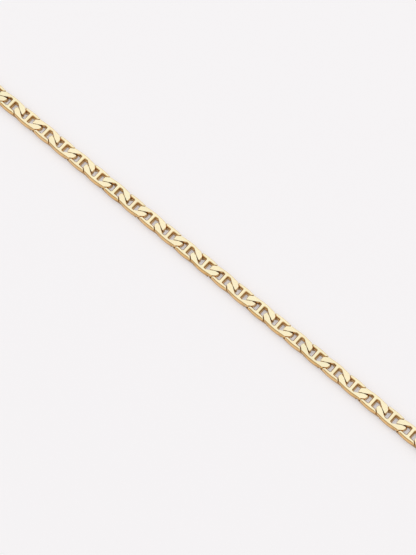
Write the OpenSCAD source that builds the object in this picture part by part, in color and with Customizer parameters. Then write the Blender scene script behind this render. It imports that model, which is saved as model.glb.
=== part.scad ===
// A flat mariner link necklace lying closed on a table. Its front stretch is pulled straight along X,
// and the rest takes the plain way round on the +Y side to the clasp. Each link is a long flat ring
// with one crossbar. Its ends are split into an upper and a lower layer that cross, so that a link
// passes through both of its neighbours. Every other link is turned half round. Z = 0 is the table,
// and the origin is the middle of the floor that the loop covers. Lengths are in mm.

/* [Link] */
// Distance from one crossbar to the next where the chain is pulled straight
pitch = 5; // [4.95:0.05:5.05]
// Overall length of a link, nose to nose
link_len = 7.2; // [7:0.05:7.3]
// Overall width of a link
link_w = 3.2; // [3.1:0.05:3.3]
// Thickness of a link
link_h = 1.5; // [1.3:0.05:1.8]
// Width of each side rail
rail_w = 0.58; // [0.5:0.01:0.64]
// Length of the straight part of each side rail
rail_len = 4.85; // [4.7:0.05:5]
// Width of the crossbar
bar_w = 0.56; // [0.46:0.02:0.66]
// Angle by which the crossbar leans, because a link is twisted before it is rolled flat
bar_lean = 5; // [0:0.5:8]
// How far the sides slope in from their waist to the flat top and bottom
side_slope = 0.12; // [0.04:0.01:0.2]
// How far the noses and the outer edges of the ends slope in, where they are cut nearly upright
end_slope = 0.04; // [0.02:0.01:0.12]
// Angle at which the sides turn in towards each end, so that they bow a little
side_bow = 5; // [2:0.5:7]
// Length of the middle of each side, between the turned parts
side_mid_len = 1.2; // [0.6:0.1:2]
// Angle of the outer edge of a link's end to its rails
end_angle = 39; // [38:0.5:40]
// Angle at which the inner edges of two linked ends pass each other
pass_angle = 28.5; // [27.5:0.5:29.5]
// Length of that inner edge that runs straight, before it turns away from the neighbour
pass_len = 0.5; // [0.4:0.05:0.6]
// How much that edge turns away from the neighbour towards the nose
nose_relief = 9; // [8:0.5:14]
// How much that edge turns away from the neighbour towards the rail
rail_relief = 5; // [3:0.5:8]

/* [Clearances] */
// Clearance between the inner edges of two linked ends where the chain is straight
pass_gap = 0.1; // [0.1:0.01:0.14]
// Play between a rail's end and the neighbour that passes over or under it
rail_play = 0.3; // [0.28:0.01:0.34]
// Clearance between the upper and the lower layer of two linked ends
layer_gap = 0.12; // [0.1:0.01:0.2]
// How much closer two links sit where the chain turns, to the nearest whole number of links
bend_slack = 0.13; // [0.12:0.01:0.16]

/* [Loop] */
// Number of links on each side of the middle link in the straight front stretch
front_side_links = 12; // [10:1:16]
// Radius of the turn at each end of the front stretch
corner_r = 34; // [32:1:38]
// Distance from the front stretch to the clasp, across the loop
loop_depth = 84; // [80:1:92]

/* [Clasp] */
// Length of the clasp's case
clasp_len = 9; // [7:0.5:14]
// Width of the clasp's case
clasp_w = 4.2; // [3.8:0.1:5]
// Thickness of the clasp's case
clasp_h = 2.2; // [1.8:0.1:3]
// Radius of the case's corners
clasp_corner_r = 1.2; // [0.6:0.1:1.5]

/* [Hidden] */
$fn = 32;

// How far a cut runs past what it cuts
over = 1;
gold = "#e8c873";

// Places in a link, from its crossbar
nose_x = link_len / 2;
inner_y = link_w / 2 - rail_w;
layer_low_z = link_h / 2 - layer_gap / 2;
layer_high_z = link_h / 2 + layer_gap / 2;
// Distance of a link's sloping outer edges from its middle
end_d = sin(end_angle) * rail_len / 2 + cos(end_angle) * link_w / 2;
// Distance of the bowed parts of its sides from its middle
bow_d = sin(side_bow) * side_mid_len / 2 + cos(side_bow) * link_w / 2;

// A line is [angle, d]: all points p with p * (sin(angle), cos(angle)) = d
function meet(p, q) =
    let (det = sin(p[0]) * cos(q[0]) - sin(q[0]) * cos(p[0]))
    [
        (p[1] * cos(q[0]) - q[1] * cos(p[0])) / det,
        (q[1] * sin(p[0]) - p[1] * sin(q[0])) / det
    ];
function line_through(angle, point) = [angle, sin(angle) * point[0] + cos(angle) * point[1]];

// Inner edge of an end's raised arm, which passes the neighbour at half the pitch
pass_mid = [
    pitch / 2 + sin(pass_angle) * pass_gap / 2,
    cos(pass_angle) * pass_gap / 2
];
pass_run = [cos(pass_angle), -sin(pass_angle)] * pass_len / 2;
pass_start = pass_mid - pass_run;
pass_end = pass_mid + pass_run;
rail_side_edge = line_through(pass_angle + rail_relief, pass_start);
nose_side_edge = line_through(pass_angle - nose_relief, pass_end);
// The neighbour's outer edge, and the rail's end that keeps clear of it
mitre_edge = [end_angle, pitch * sin(end_angle) - end_d - rail_play];

// What is cut away beside the crossbar in the layer that has its arm on the +Y side. The crossbar
// leans by an angle, so that its +Y end stands nearer to the gap.
function gap_outline(lean) = [
    [bar_w / 2 + inner_y * tan(lean), inner_y],
    [bar_w / 2 - inner_y * tan(lean), -inner_y],
    meet([0, -inner_y], mitre_edge),
    meet([0, -link_w / 2 - over], mitre_edge),
    [nose_x + over, -link_w / 2 - over],
    meet([90, nose_x + over], nose_side_edge),
    pass_end,
    pass_start,
    meet([0, inner_y], rail_side_edge)
];

// A long bar of a link's thickness, with its sides at half_w from the middle and sloping in by slope
module sloped_bar(half_w, slope) {
    rotate([90, 0, 90])
        linear_extrude(link_len * 2, center = true)
            polygon([
                [half_w - slope, 0],
                [half_w, link_h / 2],
                [half_w - slope, link_h],
                [slope - half_w, link_h],
                [-half_w, link_h / 2],
                [slope - half_w, 0]
            ]);
}

module link_blank() {
    intersection() {
        sloped_bar(link_w / 2, side_slope);
        intersection_for (turn = [-side_bow, side_bow])
            rotate([0, 0, turn])
                sloped_bar(bow_d, side_slope);
        intersection_for (turn = [-end_angle, end_angle])
            rotate([0, 0, turn])
                sloped_bar(end_d, end_slope);
        rotate([0, 0, 90])
            sloped_bar(nose_x, end_slope);
    }
}

// The gaps in the layer between two heights, with its arms on the +Y side
module layer_gaps(low, high, lean) {
    for (side = [-1, 1])
        mirror([side < 0 ? 1 : 0, 0, 0])
            translate([0, 0, low])
                linear_extrude(high - low)
                    polygon(gap_outline(side * lean));
}

// One link along X, flat on Z = 0, with its upper layer's arms on the +Y side
module link() {
    difference() {
        link_blank();
        layer_gaps(layer_low_z, link_h + over, -bar_lean);
        mirror([0, 1, 0])
            layer_gaps(-over, layer_high_z, bar_lean);
    }
}

// The loop's right half is a straight front, a corner arc, a back arc and half of the clasp. Its
// links stand at steps of the path, and those of its left half stand opposite them.
clasp_half = clasp_len / 2 - bar_w;
front_half = front_side_links * pitch;
run_in = front_half - clasp_half;
rise = loop_depth - 2 * corner_r;
back_r = corner_r + (run_in * run_in + rise * rise) / (2 * rise);
corner_turn = 180 - asin(run_in / (back_r - corner_r));
corner_len = corner_r * corner_turn * PI / 180;
back_len = back_r * (180 - corner_turn) * PI / 180;
bend_steps = round((corner_len + back_len) / (pitch - bend_slack));
bend_step = (corner_len + back_len) / bend_steps;
// The front stretch lies this far towards -Y, so that the origin is in the middle
front_y = -(loop_depth + clasp_w / 2 - link_w / 2) / 2;

// Place on the path, [x, y, heading], at a distance past the end of the straight front
function bend_place(s) =
    s < corner_len
        ? let (turn = s / corner_r * 180 / PI)
          [
              front_half + corner_r * sin(turn),
              front_y + corner_r - corner_r * cos(turn),
              turn
          ]
        : let (turn = corner_turn + (s - corner_len) / back_r * 180 / PI)
          [
              clasp_half + back_r * sin(turn),
              front_y + loop_depth - back_r - back_r * cos(turn),
              turn
          ];

// Every other link is turned half round, from the middle one on
module turned_link(index) {
    rotate([0, 0, index % 2 == 0 ? 180 : 0])
        link();
}

module chain_front() {
    color(gold)
        for (index = [-front_side_links:front_side_links])
            translate([index * pitch, front_y, 0])
                turned_link(abs(index));
}

module chain_back() {
    color(gold)
        for (side = [-1, 1], index = [1:bend_steps - 1])
            let (place = bend_place(index * bend_step))
                translate([side * place[0], place[1], 0])
                    rotate([0, 0, side * place[2]])
                        turned_link(front_side_links + index);
}

// A closed case with an end like a link's at each side
module clasp() {
    color(gold)
        translate([0, front_y + loop_depth, 0])
            rotate([0, 0, 180]) {
                clasp_end(-1);
                clasp_end(1);
                clasp_case();
            }
}

module clasp_end(side) {
    translate([side * clasp_half, 0, 0])
        intersection() {
            turned_link(front_side_links + bend_steps);
            translate([side < 0 ? -link_len : 0, -link_w, -over])
                cube([link_len, 2 * link_w, link_h + 2 * over]);
        }
}

module clasp_case() {
    corner_x = clasp_len / 2 - clasp_corner_r;
    corner_y = clasp_w / 2 - clasp_corner_r;
    translate([-clasp_len / 2, -corner_y, 0])
        cube([clasp_len, 2 * corner_y, clasp_h]);
    translate([-corner_x, -clasp_w / 2, 0])
        cube([2 * corner_x, clasp_w, clasp_h]);
    for (x = [-corner_x, corner_x], y = [-corner_y, corner_y])
        translate([x, y, 0])
            cylinder(r = clasp_corner_r, h = clasp_h);
}

chain_front();
chain_back();
clasp();
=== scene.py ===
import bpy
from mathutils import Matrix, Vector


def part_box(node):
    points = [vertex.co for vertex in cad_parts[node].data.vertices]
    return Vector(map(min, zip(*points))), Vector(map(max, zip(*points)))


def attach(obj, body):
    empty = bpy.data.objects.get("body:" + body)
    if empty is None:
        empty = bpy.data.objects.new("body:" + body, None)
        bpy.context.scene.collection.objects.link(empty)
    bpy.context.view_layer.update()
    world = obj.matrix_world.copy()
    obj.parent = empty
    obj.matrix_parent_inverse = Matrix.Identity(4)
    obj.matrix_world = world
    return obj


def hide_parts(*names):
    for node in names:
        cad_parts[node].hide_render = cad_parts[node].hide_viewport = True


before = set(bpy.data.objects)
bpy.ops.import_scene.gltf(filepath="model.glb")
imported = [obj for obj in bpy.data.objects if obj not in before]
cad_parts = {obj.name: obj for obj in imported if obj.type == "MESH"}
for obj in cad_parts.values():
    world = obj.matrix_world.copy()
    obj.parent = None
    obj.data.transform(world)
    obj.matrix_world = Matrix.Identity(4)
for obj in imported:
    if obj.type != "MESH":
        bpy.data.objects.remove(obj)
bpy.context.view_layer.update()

import math
import bmesh
import bpy
from mathutils import Matrix, Vector

# Front links: a straight stretch of twenty-five flat mariner links, most of which the photo shows. Each
# is a gold wire ring with a soldered crossbar, twisted at both ends so that it threads its neighbours,
# then rolled flat, with its flat sides cut bright and its edges tumbled round.
MM = 0.001
pitch = 5.0
link_len = 7.2
link_w = 3.2
link_h = 1.5
rail_w = 0.58
rail_len = 4.85
bar_w = 0.56
bar_lean = math.radians(5)
side_bow = math.radians(5)
side_mid_len = 1.2
end_angle = math.radians(39)
pass_angle = math.radians(28.5)
pass_len = 0.5
nose_relief = math.radians(9)
rail_relief = math.radians(5)
pass_gap = 0.1
layer_gap = 0.12
front_side_links = 12
# How far the links tip in their play, in radians, and how much thinner they are for it on each side
link_play = 0.006
play_room = 0.02
half_h = link_h / 2 - play_room
# Play between a rail's cut end and the neighbour, which is pulled up close here
front_rail_play = 0.1

# How far a link's noses, its rails' inner sides, the sloping outer edges of its ends and the bowed parts
# of its sides lie from its middle
nose_x = link_len / 2
inner_y = link_w / 2 - rail_w
end_d = math.sin(end_angle) * rail_len / 2 + math.cos(end_angle) * link_w / 2
bow_d = math.sin(side_bow) * side_mid_len / 2 + math.cos(side_bow) * link_w / 2


def meet(p, q):
    """Where two lines cross. A line (angle, d) holds the points with x sin(angle) + y cos(angle) = d."""
    det = math.sin(p[0]) * math.cos(q[0]) - math.sin(q[0]) * math.cos(p[0])
    return (
        (p[1] * math.cos(q[0]) - q[1] * math.cos(p[0])) / det,
        (q[1] * math.sin(p[0]) - p[1] * math.sin(q[0])) / det,
    )


def line_through(angle, point):
    """The line at an angle through a point."""
    return angle, math.sin(angle) * point[0] + math.cos(angle) * point[1]


def rounded(before, corner, after, rounding, start_kind, end_kind):
    """An arc in a corner that has the metal on its left, as points of the outline.

    A rounding is a radius and a number of steps. A point is x, y, its direction out of the metal as
    x, y, and its shares of outer side and of hole wall. What is neither is an edge that a neighbour
    passes.
    """
    radius, steps = rounding
    c = Vector(corner)
    a, b = (Vector(before) - c).normalized(), (Vector(after) - c).normalized()
    half = a.angle(b) / 2
    centre = c + (a + b).normalized() * (radius / math.sin(half))
    start = c + a * (radius / math.tan(half)) - centre
    sweep = -start.angle_signed(c + b * (radius / math.tan(half)) - centre)
    points = []
    for k in range(steps + 1):
        t = k / steps
        turn = Matrix.Rotation(sweep * t, 2)
        place, out = centre + turn @ start, turn @ Vector((-a.y, a.x))
        kind = (u + (v - u) * t for u, v in zip(start_kind, end_kind))
        points.append((place.x, place.y, out.x, out.y, *kind))
    return points


# Kinds of points of the outline, as shares of outer side and of hole wall
SIDE = (1, 0)
ARM = (0.4, 0)
SHARP_TIP = (0.15, 0)
HOLE = (0, 1)
PASS = (0, 0)
# Distance from the crossbar to where a rail's end begins
foot_x = 1.5
# Roundings of the outline's corners, each a radius and a number of steps
bar_round = (0.26, 3)
crotch_round = (0.45, 3)
pass_start_round = (2.0, 1)
pass_end_round = (1.2, 2)
nose_inner_round = (0.2, 4)
nose_outer_round = (0.3, 3)
shoulder_round = (0.5, 3)
waist_round = (7.0, 2)
mitre_round = (0.2, 2)
sharp_tip_round = (0.12, 4)


def rail_end_chains(rail_play, tip_round, tip_kind):
    """A rail's end where it runs on into an arm and where it is cut off, and the arc of its waist."""
    side_line, bow_line, end_line = (0, link_w / 2), (side_bow, bow_d), (end_angle, end_d)
    nose_line, inner_line = (math.pi / 2, nose_x), (0, inner_y)
    pass_mid = Vector((
        pitch / 2 + math.sin(pass_angle) * pass_gap / 2,
        math.cos(pass_angle) * pass_gap / 2,
    ))
    pass_run = Vector((math.cos(pass_angle), -math.sin(pass_angle))) * (pass_len / 2)
    pass_start, pass_end = pass_mid - pass_run, pass_mid + pass_run
    crotch = meet(inner_line, line_through(pass_angle + rail_relief, pass_start))
    nose_side_edge = line_through(pass_angle - nose_relief, pass_end)
    mitre_line = (-end_angle, rail_play + end_d - pitch * math.sin(end_angle))
    nose_in, nose_out = meet(nose_line, nose_side_edge), meet(nose_line, end_line)
    shoulder, waist = meet(bow_line, end_line), meet(side_line, bow_line)
    mitre_in, mitre_tip = meet(inner_line, mitre_line), meet(bow_line, mitre_line)
    foot = meet(bow_line, (math.pi / 2, foot_x))
    foot = [(*foot, math.sin(side_bow), math.cos(side_bow), *SIDE)]
    # Points half way along the rail, on its inner and its outer side
    rail_inside, rail_outside = (0, inner_y), (0, link_w / 2)

    crotch_arc = rounded(rail_inside, crotch, pass_start, crotch_round, HOLE, PASS)
    arm = (
        crotch_arc
        + rounded(crotch, pass_start, pass_end, pass_start_round, PASS, PASS)
        + rounded(pass_start, pass_end, nose_in, pass_end_round, PASS, PASS)
        + rounded(pass_end, nose_in, nose_out, nose_inner_round, PASS, ARM)
        + rounded(nose_in, nose_out, shoulder, nose_outer_round, ARM, ARM)
        + rounded(nose_out, shoulder, waist, shoulder_round, ARM, SIDE)
        + foot
    )
    cut_off = (
        crotch_arc[:1]
        + rounded(rail_inside, mitre_in, mitre_tip, mitre_round, HOLE, PASS)
        + rounded(mitre_in, mitre_tip, waist, tip_round, PASS, tip_kind)
        + foot
    )
    waist_arc = rounded(shoulder, waist, rail_outside, waist_round, SIDE, SIDE)
    return arm, cut_off, waist_arc


def link_ring(plus_end, minus_end, waist_arc):
    """The outline, anticlockwise, and where the four ends of the rails lie in it.

    The rail on the +Y side has plus_end at both its ends, and the one on the -Y side has minus_end.
    """
    rail_x = plus_end[0][0]
    lean = math.tan(bar_lean) * inner_y
    bottom, top = (bar_w / 2 + lean, -inner_y), (bar_w / 2 - lean, inner_y)
    crossbar_side = (
        rounded((rail_x, -inner_y), bottom, top, bar_round, HOLE, HOLE)
        + rounded(bottom, top, (rail_x, inner_y), bar_round, HOLE, HOLE)
    )
    ring, ends = [], []

    def add(points, side_x, side_y, is_end=False):
        placed = [
            (side_x * x, side_y * y, side_x * out_x, side_y * out_y, *kind)
            for x, y, out_x, out_y, *kind in points
        ]
        if is_end:
            ends.append(slice(len(ring), len(ring) + len(points)))
        ring.extend(placed if side_x == side_y else placed[::-1])

    add(waist_arc, -1, -1)
    add(waist_arc, 1, -1)
    add(minus_end, 1, -1, True)
    add(crossbar_side, 1, 1)
    add(plus_end, 1, 1, True)
    add(waist_arc, 1, 1)
    add(waist_arc, -1, 1)
    add(plus_end, -1, 1, True)
    add(crossbar_side, -1, -1)
    add(minus_end, -1, -1, True)
    return ring, ends


# The walls' profile from the middle up, in rows: height, how far the outer sides, the holes' walls and
# the edges at a neighbour are drawn in (below 0 they stand out), and how much of the row is cut flat
wall_profile = [
    (layer_gap / 2, 0.002, -0.21, 0.0, 0.0),
    (0.44, 0.02, -0.2, 0.0, 0.0),
    (half_h - 0.14, 0.045, -0.135, 0.0, 0.0),
    (half_h - 0.125, 0.053, -0.12, 0.0, 0.0),
    (half_h - 0.02, 0.15, 0.0, 0.008, 0.2),
    (half_h, 0.185, 0.03, 0.025, 1.0),
]
# Painted shade darkens the walls towards the bottom, where the floor and the neighbouring links shade
# them, from the first to the second of these shares of their height, from the top down: inside the links,
# and on their outer sides. Faces under an arm lie in its shade and get at least the single number's
# painted shade.
dark_inside, dark_outside = (0.31, 0.69), (0.63, 0.91)
shade_under_arm = 0.8
# A rail's cut end dips, where the neighbour's arm has pressed it down in the rolling: ever more from
# foot_x to dip_end along the link, and there by tip_dip at its top
dip_end = 2.3
tip_dip = 0.22
# Points closer together than this are welded, and points this close to a cut lie on it
weld_distance = 0.004
cut_tolerance = 0.0005
# Faces that meet at more than this angle have a crisp edge between them
crisp_angle = math.radians(50)


def link_mesh(name, rail_play, tip_round, tip_kind):
    """One link along X, with its middle at the origin and attributes for its flats and for the painted
    shade of its walls and recesses.
    """
    bm = bmesh.new()
    flat = bm.verts.layers.float.new("cut_flat")
    painted_shade = bm.verts.layers.float.new("painted_shade")
    arm, cut_off, waist_arc = rail_end_chains(rail_play, tip_round, tip_kind)

    def darkness(lowness, stretch):
        """How much painted shade a wall gets at a share of its height, from the top down."""
        return min(1, max(0, (lowness - stretch[0]) / (stretch[1] - stretch[0])))

    def row(ring, k, up):
        """The ring's vertices at one of the profile's heights, on the upper or the lower side."""
        height, side_draw, hole_draw, pass_draw, flatness = wall_profile[k]
        lowness = (1 - up * height / half_h) / 2
        inside, outside = darkness(lowness, dark_inside), darkness(lowness, dark_outside)
        made = []
        for x, y, out_x, out_y, side, hole in ring:
            draw = side * side_draw + hole * hole_draw + (1 - side - hole) * pass_draw
            v = bm.verts.new((x - out_x * draw, y - out_y * draw, up * height))
            v[flat] = flatness
            # Painted shade, growing towards the bottom of the walls and kept off the cut flats
            v[painted_shade] = (1 - flatness) * ((1 - side) * inside + side * outside)
            made.append(v)
        return made

    def wall(low, high):
        """The faces between two rows, from the lower to the higher one."""
        for i in range(len(low)):
            bm.faces.new((low[i - 1], low[i], high[i], high[i - 1]))

    middle_ring, short_ends = link_ring(cut_off, cut_off, waist_arc)
    middle = {up: row(middle_ring, 0, up) for up in (-1, 1)}
    wall(middle[-1], middle[1])
    for up, plus_end, minus_end, arms in ((1, arm, cut_off, (1, 2)), (-1, cut_off, arm, (0, 3))):
        ring, ends = link_ring(plus_end, minus_end, waist_arc)
        rows = [row(ring, k, up) for k in range(len(wall_profile))]
        for low, high in zip(rows, rows[1:]):
            wall(low, high)
        bm.faces.new(rows[-1])
        for k in arms:
            under = rows[0][ends[k]] + middle[up][short_ends[k]][1:-1][::-1]
            # The faces under an arm are darkened with painted shade, as the arm shades them
            for v in under:
                v[painted_shade] = max(v[painted_shade], shade_under_arm)
            bm.faces.new([bm.verts.new(v.co, v) for v in under])

    bmesh.ops.remove_doubles(bm, verts=bm.verts, dist=weld_distance)
    # Edges across the rails, so that their cut ends can bend down
    for x in (foot_x, (foot_x + dip_end) / 2):
        for side_x in (1, -1):
            bmesh.ops.bisect_plane(
                bm, geom=bm.verts[:] + bm.edges[:] + bm.faces[:], dist=cut_tolerance,
                plane_co=(side_x * x, 0, 0), plane_no=(1, 0, 0))
    # The cut ends lie on the -Y side of the upper layer and on the +Y side of the lower one
    for v in bm.verts:
        if v.co.y * v.co.z < -inner_y * layer_gap / 2:
            past = min(1, max(0, abs(v.co.x) - foot_x) / (dip_end - foot_x))
            share = (abs(v.co.z) - layer_gap / 2) / (half_h - layer_gap / 2)
            v.co.z -= math.copysign(tip_dip * past * past * max(0, share), v.co.z)
    bmesh.ops.recalc_face_normals(bm, faces=bm.faces)
    bmesh.ops.scale(bm, vec=(MM, MM, MM), verts=bm.verts)
    mesh = bpy.data.meshes.new(name)
    bm.to_mesh(mesh)
    bm.free()
    mesh.shade_smooth()
    mesh.set_sharp_from_angle(angle=crisp_angle)
    return mesh


def socket(tree, name, kind, direction="INPUT", default=None):
    """Gives a node group one more input or output."""
    item = tree.interface.new_socket(name=name, in_out=direction, socket_type=kind)
    if default is not None:
        item.default_value = default


def math_node(tree, operation, *terms):
    """The result of a piece of arithmetic, on sockets and plain numbers."""
    node = tree.nodes.new("ShaderNodeMath")
    node.operation = operation
    for k, term in enumerate(terms):
        if isinstance(term, bpy.types.NodeSocket):
            tree.links.new(term, node.inputs[k])
        else:
            node.inputs[k].default_value = term
    return node.outputs[0]


def node_of(tree, kind, **settings):
    """A new node of a kind, with the settings that it needs."""
    node = tree.nodes.new(kind)
    for key, setting in settings.items():
        setattr(node, key, setting)
    return node


# Fineness of the polishing lines, of the handling marks and of the slow changes of tone
line_scale, mark_scale, tone_scale = 9000.0, 900.0, 160.0
# How far the polishing lines are drawn out along X, and the turn of the noise that they come from
line_stretch = 20.0
noise_turn = math.radians(24)


def polish_group():
    """Fine polishing lines, soft handling marks and slow changes of tone, for cut and tumbled gold."""
    group = bpy.data.node_groups.new("gold_polish", "ShaderNodeTree")
    socket(group, "Line Scale", "NodeSocketFloat", default=line_scale)
    socket(group, "Tone Scale", "NodeSocketFloat", default=tone_scale)
    for name in ("Lines", "Marks", "Tone"):
        socket(group, name, "NodeSocketFloat", "OUTPUT")
    give, take = group.nodes.new("NodeGroupInput"), group.nodes.new("NodeGroupOutput")
    place = group.nodes.new("ShaderNodeTexCoord")
    stretch = node_of(group, "ShaderNodeMapping")
    stretch.inputs["Rotation"].default_value = (0, 0, noise_turn)
    stretch.inputs["Scale"].default_value = (1 / line_stretch, 1.0, 1.0)
    lines = group.nodes.new("ShaderNodeTexNoise")
    lines.inputs["Detail"].default_value = 3.0
    marks = group.nodes.new("ShaderNodeTexNoise")
    marks.inputs["Scale"].default_value = mark_scale
    marks.inputs["Detail"].default_value = 5.0
    tone = group.nodes.new("ShaderNodeTexNoise")
    tone.inputs["Detail"].default_value = 1.0
    link = group.links.new
    link(place.outputs["Object"], stretch.inputs["Vector"])
    link(stretch.outputs["Vector"], lines.inputs["Vector"])
    link(give.outputs["Line Scale"], lines.inputs["Scale"])
    link(place.outputs["Object"], marks.inputs["Vector"])
    link(place.outputs["Object"], tone.inputs["Vector"])
    link(give.outputs["Tone Scale"], tone.inputs["Scale"])
    link(lines.outputs["Fac"], take.inputs["Lines"])
    link(marks.outputs["Fac"], take.inputs["Marks"])
    link(tone.outputs["Fac"], take.inputs["Tone"])
    return group


# Places of a colour mix's sockets
MIX_SHARE, MIX_FIRST, MIX_SECOND, MIX_RESULT = 0, 6, 7, 2
# Gold colours, and how far the warmest link goes towards the last of them. The walls' deeper gold is
# painted shade of the flats' gold, and the brown is painted shade for the recesses; the warmer gold is a
# link's own tone.
shaded_wall_colour = (0.86, 0.525, 0.175, 1)
painted_shade_colour = (0.27, 0.12, 0.02, 1)
warmer_gold = (0.97, 0.72, 0.42, 1)
most_warmth = 0.35
# Brightness of the metal where the slow changes make it darkest, and how much they add
tone_least, tone_range = 0.92, 0.12
# Roughness of clean metal, and what handling marks and recesses add to it
clean_rough, mark_rough, recess_rough = 0.12, 0.12, 0.1


def gold_tone_group():
    """Colour and gloss of the gold: pale on the cut flats, with painted shade that makes the walls deeper
    and the recesses browner.
    """
    group = bpy.data.node_groups.new("gold_tone", "ShaderNodeTree")
    socket(group, "Flat Colour", "NodeSocketColor")
    socket(group, "Shaded Wall Colour", "NodeSocketColor", default=shaded_wall_colour)
    socket(group, "Painted Shade Colour", "NodeSocketColor", default=painted_shade_colour)
    for name in ("Cut Flat", "Painted Shade", "Link Tone", "Tone", "Marks"):
        socket(group, name, "NodeSocketFloat")
    socket(group, "Colour", "NodeSocketColor", "OUTPUT")
    socket(group, "Roughness", "NodeSocketFloat", "OUTPUT")
    give, take = group.nodes.new("NodeGroupInput"), group.nodes.new("NodeGroupOutput")
    link = group.links.new

    def blend(factor, first, second, mode="MIX"):
        """The result of a colour mix, from sockets and plain values."""
        node = node_of(group, "ShaderNodeMix", data_type="RGBA", blend_type=mode)
        for where, what in ((MIX_SHARE, factor), (MIX_FIRST, first), (MIX_SECOND, second)):
            if isinstance(what, bpy.types.NodeSocket):
                link(what, node.inputs[where])
            else:
                node.inputs[where].default_value = what
        return node.outputs[MIX_RESULT]

    # Painted shade: the walls take a deeper copy of the gold, and the recesses a brown one
    walls = blend(give.outputs["Painted Shade"], give.outputs["Shaded Wall Colour"], give.outputs["Painted Shade Colour"])
    body = blend(give.outputs["Cut Flat"], walls, give.outputs["Flat Colour"])
    warmth = math_node(group, "MULTIPLY", give.outputs["Link Tone"], most_warmth)
    warm = blend(warmth, body, warmer_gold)
    shade = math_node(group, "MULTIPLY_ADD", give.outputs["Tone"], tone_range, tone_least)
    link(blend(1.0, warm, shade, "MULTIPLY"), take.inputs["Colour"])
    marked = math_node(group, "MULTIPLY_ADD", give.outputs["Marks"], mark_rough, clean_rough)
    dull = math_node(group, "MULTIPLY_ADD", give.outputs["Painted Shade"], recess_rough, marked)
    link(dull, take.inputs["Roughness"])
    return group


# How much the polishing lines show, and their depth in metres
line_strength = 0.12
line_depth = 0.00001


def gold_material(name, flat_colour):
    """Polished gold with a colour for its cut flats, led by the mesh's attributes."""
    material = bpy.data.materials.new(name)
    material.use_nodes = True
    tree = material.node_tree
    shader = tree.nodes["Principled BSDF"]
    shader.inputs["Metallic"].default_value = 1.0
    polish = node_of(tree, "ShaderNodeGroup", node_tree=gold_polish)
    tone = node_of(tree, "ShaderNodeGroup", node_tree=gold_tone)
    tone.inputs["Flat Colour"].default_value = flat_colour
    # The cut flats and the painted shade of walls and recesses are read from the mesh
    for attribute, share in (("cut_flat", "Cut Flat"), ("painted_shade", "Painted Shade"), ("link_tone", "Link Tone")):
        reader = node_of(tree, "ShaderNodeAttribute", attribute_name=attribute)
        tree.links.new(reader.outputs["Fac"], tone.inputs[share])
    tree.links.new(polish.outputs["Tone"], tone.inputs["Tone"])
    tree.links.new(polish.outputs["Marks"], tone.inputs["Marks"])
    tree.links.new(tone.outputs["Colour"], shader.inputs["Base Color"])
    tree.links.new(tone.outputs["Roughness"], shader.inputs["Roughness"])
    bump = tree.nodes.new("ShaderNodeBump")
    bump.inputs["Strength"].default_value = line_strength
    bump.inputs["Distance"].default_value = line_depth
    tree.links.new(polish.outputs["Lines"], bump.inputs["Height"])
    tree.links.new(bump.outputs["Normal"], shader.inputs["Normal"])
    return material


gold_polish = polish_group()
gold_tone = gold_tone_group()
link_flat_colour = (0.91, 0.785, 0.495, 1)
link_gold = gold_material("link_gold", link_flat_colour)

# Seeds of the links' play and of their tones, and places of a random value's outputs
play_seed, tone_seed = 7, 11
RANDOM_VECTOR, RANDOM_NUMBER = 0, 1


def finish_run(tree, points, turn_z, link_geometry, material):
    """Sets the links on the points, each with its turn, a little play and its own tone of gold."""
    play = node_of(tree, "FunctionNodeRandomValue", data_type="FLOAT_VECTOR")
    play.inputs["Min"].default_value = (-link_play, -link_play / 2, 0)
    play.inputs["Max"].default_value = (link_play, link_play / 2, 0)
    play.inputs["Seed"].default_value = play_seed
    turn = tree.nodes.new("ShaderNodeCombineXYZ")
    tree.links.new(turn_z, turn.inputs["Z"])
    spin = node_of(tree, "ShaderNodeVectorMath", operation="ADD")
    tree.links.new(play.outputs[RANDOM_VECTOR], spin.inputs[0])
    tree.links.new(turn.outputs[0], spin.inputs[1])
    rotation = tree.nodes.new("FunctionNodeEulerToRotation")
    tree.links.new(spin.outputs[0], rotation.inputs[0])
    instances = tree.nodes.new("GeometryNodeInstanceOnPoints")
    tree.links.new(points, instances.inputs["Points"])
    tree.links.new(link_geometry, instances.inputs["Instance"])
    tree.links.new(rotation.outputs[0], instances.inputs["Rotation"])
    tone = node_of(tree, "FunctionNodeRandomValue", data_type="FLOAT")
    tone.inputs["Seed"].default_value = tone_seed
    store = node_of(tree, "GeometryNodeStoreNamedAttribute", data_type="FLOAT", domain="INSTANCE")
    store.inputs["Name"].default_value = "link_tone"
    tree.links.new(instances.outputs[0], store.inputs["Geometry"])
    tree.links.new(tone.outputs[RANDOM_NUMBER], store.inputs["Value"])
    realize = tree.nodes.new("GeometryNodeRealizeInstances")
    tree.links.new(store.outputs[0], realize.inputs[0])
    paint = tree.nodes.new("GeometryNodeSetMaterial")
    tree.links.new(realize.outputs[0], paint.inputs["Geometry"])
    tree.links.new(material, paint.inputs["Material"])
    out = tree.nodes.new("NodeGroupOutput")
    tree.links.new(paint.outputs[0], out.inputs[0])


def run_tree(name, sizes):
    """An empty tree of links, with a named input for each of its sizes."""
    tree = bpy.data.node_groups.new(name, "GeometryNodeTree")
    socket(tree, "Geometry", "NodeSocketGeometry", "OUTPUT")
    socket(tree, "Link", "NodeSocketGeometry")
    socket(tree, "Gold", "NodeSocketMaterial")
    for size in sizes:
        kind = "NodeSocketInt" if size.startswith("Count") else "NodeSocketFloat"
        socket(tree, size, kind)
    return tree, tree.nodes.new("NodeGroupInput")


def turned_if_even(tree, number):
    """Half a turn for every link with an even number, in radians."""
    odd = math_node(tree, "FLOORED_MODULO", number, 2.0)
    return math_node(tree, "MULTIPLY_ADD", odd, -math.pi, math.pi)


# How strongly the large faces lead the shading, of 100
large_face_weight = 90


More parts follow.
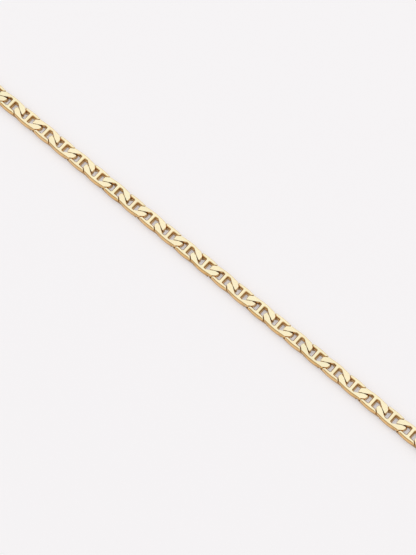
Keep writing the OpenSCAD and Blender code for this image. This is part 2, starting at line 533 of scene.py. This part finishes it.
def settle(piece):
    """Lets the large flat faces lead the shading, and leaves a plain mesh object without modifiers."""
    normals = piece.modifiers.new("flat_faces_lead", "WEIGHTED_NORMAL")
    normals.weight = large_face_weight
    normals.keep_sharp = True
    bpy.context.view_layer.update()
    plain = bpy.data.meshes.new_from_object(piece.evaluated_get(bpy.context.evaluated_depsgraph_get()))
    piece.modifiers.clear()
    piece.data = plain
    plain.name = piece.name


def run_of_links(name, mesh, tree, material, sizes):
    """Runs a tree on a link's mesh and leaves a plain mesh object."""
    piece = bpy.data.objects.new(name, mesh)
    bpy.context.scene.collection.objects.link(piece)
    modifier = piece.modifiers.new("run", "NODES")
    modifier.node_group = tree
    for item in tree.interface.items_tree:
        if item.in_out == "INPUT" and item.name == "Gold":
            modifier[item.identifier] = material
        elif item.in_out == "INPUT" and item.name in sizes:
            modifier[item.identifier] = sizes[item.name]
    settle(piece)
    return piece


# Where the middle line of the front stretch lies, in mm
front_low, front_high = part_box("chain_front")
front_y = (front_low.y + front_high.y) / 2 / MM

tree, sizes_in = run_tree("straight_run", ["Count", "Pitch", "Start X", "Start Y", "Middle Z"])
line = node_of(tree, "GeometryNodeMeshLine", mode="OFFSET")
start = tree.nodes.new("ShaderNodeCombineXYZ")
step = tree.nodes.new("ShaderNodeCombineXYZ")
tree.links.new(sizes_in.outputs["Start X"], start.inputs["X"])
tree.links.new(sizes_in.outputs["Start Y"], start.inputs["Y"])
tree.links.new(sizes_in.outputs["Middle Z"], start.inputs["Z"])
tree.links.new(sizes_in.outputs["Pitch"], step.inputs["X"])
tree.links.new(sizes_in.outputs["Count"], line.inputs["Count"])
tree.links.new(start.outputs[0], line.inputs["Start Location"])
tree.links.new(step.outputs[0], line.inputs["Offset"])
index = tree.nodes.new("GeometryNodeInputIndex").outputs[0]
finish_run(
    tree, line.outputs["Mesh"], turned_if_even(tree, index),
    sizes_in.outputs["Link"], sizes_in.outputs["Gold"])

front_link = link_mesh("front_link", front_rail_play, sharp_tip_round, SHARP_TIP)
front_links = run_of_links("front_links", front_link, tree, link_gold, {
    "Count": 2 * front_side_links + 1,
    "Pitch": pitch * MM,
    "Start X": -front_side_links * pitch * MM,
    "Start Y": front_y * MM,
    "Middle Z": link_h / 2 * MM,
})
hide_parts("chain_front")
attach(front_links, "root")

# Back links: the same link, on the stretch that goes round the neck. It leaves the front stretch in a
# corner at each end and runs back in one wide arc to the clasp. Its links sit a little closer together,
# so their rails' cut ends have more play and rounder tips.
back_rail_play = 0.26
blunt_tip_round = (0.2, 4)
corner_r = 34.0
loop_depth = 84.0
bend_slack = 0.13
clasp_len = 9.0
clasp_half = clasp_len / 2 - bar_w
front_half = front_side_links * pitch
run_in = front_half - clasp_half
rise = loop_depth - 2 * corner_r
back_r = corner_r + (run_in * run_in + rise * rise) / (2 * rise)
corner_turn = math.pi - math.asin(run_in / (back_r - corner_r))
corner_len = corner_r * corner_turn
back_len = back_r * (math.pi - corner_turn)
bend_steps = round((corner_len + back_len) / (pitch - bend_slack))
bend_step = (corner_len + back_len) / bend_steps

tree, sizes_in = run_tree("bent_run", [
    "Count Each Side", "Count In Front", "Step", "Corner Length", "Corner Turn",
    "Corner Radius", "Corner X", "Corner Y", "Back Radius", "Back X", "Back Y", "Middle Z",
])
given = sizes_in.outputs
# The first half of the points lies on the -X side and the second on the +X side, each numbered from the
# front stretch to the clasp
each = given["Count Each Side"]
line = node_of(tree, "GeometryNodeMeshLine", mode="OFFSET")
tree.links.new(math_node(tree, "MULTIPLY", each, 2.0), line.inputs["Count"])
index = tree.nodes.new("GeometryNodeInputIndex").outputs[0]
half = math_node(tree, "FLOOR", math_node(tree, "DIVIDE", math_node(tree, "ADD", index, 0.5), each))
side = math_node(tree, "MULTIPLY_ADD", half, 2.0, -1.0)
passed = math_node(tree, "MULTIPLY", half, each)
number = math_node(tree, "ADD", math_node(tree, "SUBTRACT", index, passed), 1.0)
along = math_node(tree, "MULTIPLY", number, given["Step"])
past_corner = math_node(tree, "SUBTRACT", along, given["Corner Length"])
on_back = math_node(tree, "GREATER_THAN", past_corner, 0.0)
in_corner = math_node(tree, "SUBTRACT", 1.0, on_back)


def either(corner_value, back_value):
    """The first value in the corner and the second on the back arc."""
    on_corner = math_node(tree, "MULTIPLY", corner_value, in_corner)
    return math_node(tree, "MULTIPLY_ADD", back_value, on_back, on_corner)


corner_heading = math_node(tree, "DIVIDE", along, given["Corner Radius"])
back_heading = math_node(
    tree, "ADD", given["Corner Turn"], math_node(tree, "DIVIDE", past_corner, given["Back Radius"]))
heading = either(corner_heading, back_heading)
radius = either(given["Corner Radius"], given["Back Radius"])
swing_x = math_node(tree, "MULTIPLY", math_node(tree, "SINE", heading), radius)
x = math_node(tree, "ADD", either(given["Corner X"], given["Back X"]), swing_x)
drop_y = math_node(tree, "MULTIPLY", math_node(tree, "COSINE", heading), radius)
y = math_node(tree, "SUBTRACT", either(given["Corner Y"], given["Back Y"]), drop_y)
spot = tree.nodes.new("ShaderNodeCombineXYZ")
tree.links.new(math_node(tree, "MULTIPLY", x, side), spot.inputs["X"])
tree.links.new(y, spot.inputs["Y"])
tree.links.new(given["Middle Z"], spot.inputs["Z"])
move = tree.nodes.new("GeometryNodeSetPosition")
tree.links.new(line.outputs["Mesh"], move.inputs["Geometry"])
tree.links.new(spot.outputs[0], move.inputs["Position"])
turned = turned_if_even(tree, math_node(tree, "ADD", number, given["Count In Front"]))
finish_run(
    tree, move.outputs["Geometry"], math_node(tree, "MULTIPLY_ADD", heading, side, turned),
    given["Link"], given["Gold"])

back_link = link_mesh("back_link", back_rail_play, blunt_tip_round, SIDE)
back_links = run_of_links("back_links", back_link, tree, link_gold, {
    "Count Each Side": bend_steps - 1,
    "Count In Front": front_side_links,
    "Step": bend_step * MM,
    "Corner Length": corner_len * MM,
    "Corner Turn": corner_turn,
    "Corner Radius": corner_r * MM,
    "Corner X": front_half * MM,
    "Corner Y": (front_y + corner_r) * MM,
    "Back Radius": back_r * MM,
    "Back X": clasp_half * MM,
    "Back Y": (front_y + loop_depth - back_r) * MM,
    "Middle Z": link_h / 2 * MM,
})
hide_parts("chain_back")
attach(back_links, "root")

# Clasp: a closed box clasp of pressed gold, hidden in the photo. Its case is soldered shut round an end
# like a link's at each side, and shows the fine seam where its two halves are pushed together.
clasp_w, clasp_h, clasp_corner_r = 4.2, 2.2, 1.2
# Radius of the case's edges, and the steps in the arc of a corner and of an edge
case_edge = 0.3
corner_steps = 6
edge_steps = 4
# The seam's depth and half of its width, at its bottom and where it opens
seam_depth = 0.07
seam_bottom, seam_open = 0.03, 0.08
clasp_flat_colour = (0.93, 0.77, 0.46, 1)
corner_x, corner_y = clasp_len / 2 - clasp_corner_r, clasp_w / 2 - clasp_corner_r
case_y = front_y + loop_depth
clasp_bm = bmesh.new()
flat = clasp_bm.verts.layers.float.new("cut_flat")
painted_shade = clasp_bm.verts.layers.float.new("painted_shade")


def case_row(draw, z, flatness, darkness=0.0):
    """The case's outline at a height, drawn in by a length, and how much it is cut flat and how much
    painted shade it gets.
    """
    row = []
    r = clasp_corner_r - draw
    for quarter in range(4):
        cx = corner_x * (1 if quarter in (0, 3) else -1)
        cy = corner_y * (1 if quarter in (0, 1) else -1)
        for k in range(corner_steps + 1):
            a = (quarter + k / corner_steps) * math.pi / 2
            v = clasp_bm.verts.new((cx + r * math.cos(a), case_y + cy + r * math.sin(a), z))
            v[flat] = flatness
            v[painted_shade] = darkness
            row.append(v)
    return row


case_rows = []
for k in range(edge_steps + 1):
    a = k / edge_steps * math.pi / 2
    case_rows.append(case_row(case_edge * (1 - math.sin(a)), case_edge * (1 - math.cos(a)), 0.0))
seam_rows = ((-seam_open, 0), (-seam_bottom, seam_depth), (seam_bottom, seam_depth), (seam_open, 0))
for off, draw in seam_rows:
    # The seam's bottom is darkened with painted shade
    case_rows.append(case_row(draw, clasp_h / 2 + off, 0.0, 1.0 if draw else 0.0))
for k in range(edge_steps + 1):
    a = k / edge_steps * math.pi / 2
    case_rows.append(case_row(
        case_edge * (1 - math.cos(a)), clasp_h - case_edge * (1 - math.sin(a)), k / edge_steps))
for low, high in zip(case_rows, case_rows[1:]):
    for i in range(len(low)):
        clasp_bm.faces.new((low[i - 1], low[i], high[i], high[i - 1]))
clasp_bm.faces.new(case_rows[0][::-1])
clasp_bm.faces.new(case_rows[-1])

end_mesh = link_mesh("clasp_end", back_rail_play, blunt_tip_round, SIDE)
for side in (-1, 1):
    end_bm = bmesh.new()
    end_bm.from_mesh(end_mesh)
    bmesh.ops.scale(end_bm, vec=(1 / MM,) * 3, verts=end_bm.verts)
    # The end follows the same order of turned links as the run, and the clasp lies half round
    half_turn = math.pi if (front_side_links + bend_steps) % 2 else 0
    bmesh.ops.rotate(
        end_bm, cent=(0, 0, 0), verts=end_bm.verts, matrix=Matrix.Rotation(half_turn, 3, "Z"))
    cut = bmesh.ops.bisect_plane(
        end_bm, geom=end_bm.verts[:] + end_bm.edges[:] + end_bm.faces[:],
        plane_co=(0, 0, 0), plane_no=(-side, 0, 0), clear_outer=True)
    rim = [g for g in cut["geom_cut"] if isinstance(g, bmesh.types.BMEdge)]
    bmesh.ops.holes_fill(end_bm, edges=rim)
    bmesh.ops.translate(end_bm, vec=(side * clasp_half, case_y, link_h / 2), verts=end_bm.verts)
    end_half = bpy.data.meshes.new("clasp_half")
    end_bm.to_mesh(end_half)
    end_bm.free()
    clasp_bm.from_mesh(end_half)
bmesh.ops.recalc_face_normals(clasp_bm, faces=clasp_bm.faces)
bmesh.ops.scale(clasp_bm, vec=(MM, MM, MM), verts=clasp_bm.verts)
clasp_mesh = bpy.data.meshes.new("clasp")
clasp_bm.to_mesh(clasp_mesh)
clasp_bm.free()
clasp_mesh.shade_smooth()
clasp_mesh.set_sharp_from_angle(angle=crisp_angle)
clasp_mesh.materials.append(gold_material("clasp_gold", clasp_flat_colour))
clasp_piece = bpy.data.objects.new("clasp_case", clasp_mesh)
bpy.context.scene.collection.objects.link(clasp_piece)
settle(clasp_piece)
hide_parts("clasp")
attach(clasp_piece, "root")

# Floor: a smooth, matt, very pale studio surface that the chain lies on. It glows a little by itself, a
# painted fill light that keeps the shadows under the chain soft, bright and cool.
floor_reach = 4.0
# Just under the undersides of the solids, so that the two never share a plane
floor_z = -0.00002
floor_colour = (0.70, 0.685, 0.695, 1)
painted_floor_glow = (0.96, 0.97, 1.0, 1)
floor_corners = [
    (x * floor_reach, y * floor_reach, floor_z) for x, y in ((-1, -1), (1, -1), (1, 1), (-1, 1))
]
floor_mesh = bpy.data.meshes.new("floor")
floor_mesh.from_pydata(floor_corners, [], [(0, 1, 2, 3)])
floor = bpy.data.objects.new("floor", floor_mesh)
bpy.context.scene.collection.objects.link(floor)
floor_material = bpy.data.materials.new("pale_surface")
floor_material.use_nodes = True
floor_shader = floor_material.node_tree.nodes["Principled BSDF"]
floor_shader.inputs["Base Color"].default_value = floor_colour
floor_shader.inputs["Roughness"].default_value = 0.9
floor_shader.inputs["Specular IOR Level"].default_value = 0.1
# The floor's painted glow, a fill light that brightens the shadows under the chain
floor_shader.inputs["Emission Color"].default_value = painted_floor_glow
floor_shader.inputs["Emission Strength"].default_value = 0.36
floor_mesh.materials.append(floor_material)

# Light: a studio tent that is dim at the height of the chain and brighter upwards and downwards, a cool
# soft box beyond the chain that adds nothing to matt surfaces, and a wide lamp overhead that adds nothing
# to reflections.
world = bpy.data.worlds.new("studio")
bpy.context.scene.world = world
world.use_nodes = True
nodes, links = world.node_tree.nodes, world.node_tree.links
# The tent's colours by height, which is 0 level with the chain and 1 straight up or down
ramp = nodes.new("ShaderNodeValToRGB")
ramp.color_ramp.elements[0].position = 0.22
ramp.color_ramp.elements[0].color = (0.27, 0.265, 0.265, 1)
ramp.color_ramp.elements[1].position = 0.46
ramp.color_ramp.elements[1].color = (0.58, 0.57, 0.57, 1)
ramp.color_ramp.elements.new(0.72).color = (0.81, 0.79, 0.77, 1)
direction = nodes.new("ShaderNodeTexCoord")
split = nodes.new("ShaderNodeSeparateXYZ")
links.new(direction.outputs["Generated"], split.inputs[0])
links.new(math_node(world.node_tree, "ABSOLUTE", split.outputs["Z"]), ramp.inputs["Fac"])
# What the camera itself sees past the floor's edge
backdrop_colour = (0.91, 0.88, 0.888, 1)
seen = nodes.new("ShaderNodeLightPath")
choose = node_of(world.node_tree, "ShaderNodeMix", data_type="RGBA")
choose.inputs[MIX_SECOND].default_value = backdrop_colour
links.new(seen.outputs["Is Camera Ray"], choose.inputs[MIX_SHARE])
links.new(ramp.outputs["Color"], choose.inputs[MIX_FIRST])
links.new(choose.outputs[MIX_RESULT], nodes["Background"].inputs["Color"])

camera_azimuth, camera_elevation = math.radians(43.648), math.radians(60)
camera_distance = 0.6519
forward = Vector((
    -math.sin(camera_azimuth) * math.cos(camera_elevation),
    math.cos(camera_azimuth) * math.cos(camera_elevation),
    -math.sin(camera_elevation),
))
# The middle of the picture, beside the front stretch and at the height of its flats
target = Vector((2.695, -44.305, 1.5)) * MM


def square_lamp(name, size, energy, place):
    """A square lamp that points at the camera's target and is itself out of the camera's sight."""
    lamp = bpy.data.lights.new(name, "AREA")
    lamp.size = size
    lamp.energy = energy
    lamp_object = bpy.data.objects.new(name, lamp)
    lamp_object.location = place
    lamp_object.rotation_euler = (target - lamp_object.location).to_track_quat("-Z", "Y").to_euler()
    lamp_object.visible_camera = False
    bpy.context.scene.collection.objects.link(lamp_object)
    return lamp_object


# From the camera the flats mirror what lies this way, and the soft box stands a little beside it
mirror_way = Vector((forward.x, forward.y, -forward.z))
box_distance = 1.1
box_shift = Vector((-0.15, 0.1, 0))
soft_box = square_lamp("soft_box", 1.5, 3.4, target + mirror_way * box_distance + box_shift)
soft_box.data.color = (0.55, 0.745, 1.0)
soft_box.visible_diffuse = False
lamp_shift = Vector((-0.1, 0.25, 1.1))
floor_lamp = square_lamp("floor_lamp", 0.9, 2.0, target + lamp_shift)
floor_lamp.visible_glossy = False

# Camera: where the photo was taken from, as far as its weak perspective tells. It looks down across the
# front stretch through a long lens.
sensor_mm = 36
photo_height_px = 555
focal_px = 3281.4
camera = bpy.data.cameras.new("camera")
camera.sensor_width = sensor_mm
camera.lens = focal_px / photo_height_px * sensor_mm
camera.clip_start, camera.clip_end = 0.01, 20
camera_object = bpy.data.objects.new("camera", camera)
camera_object.location = target - forward * camera_distance
camera_object.rotation_euler = forward.to_track_quat("-Z", "Y").to_euler()
bpy.context.scene.collection.objects.link(camera_object)
bpy.context.scene.camera = camera_object
bpy.context.scene.view_settings.view_transform = "Standard"
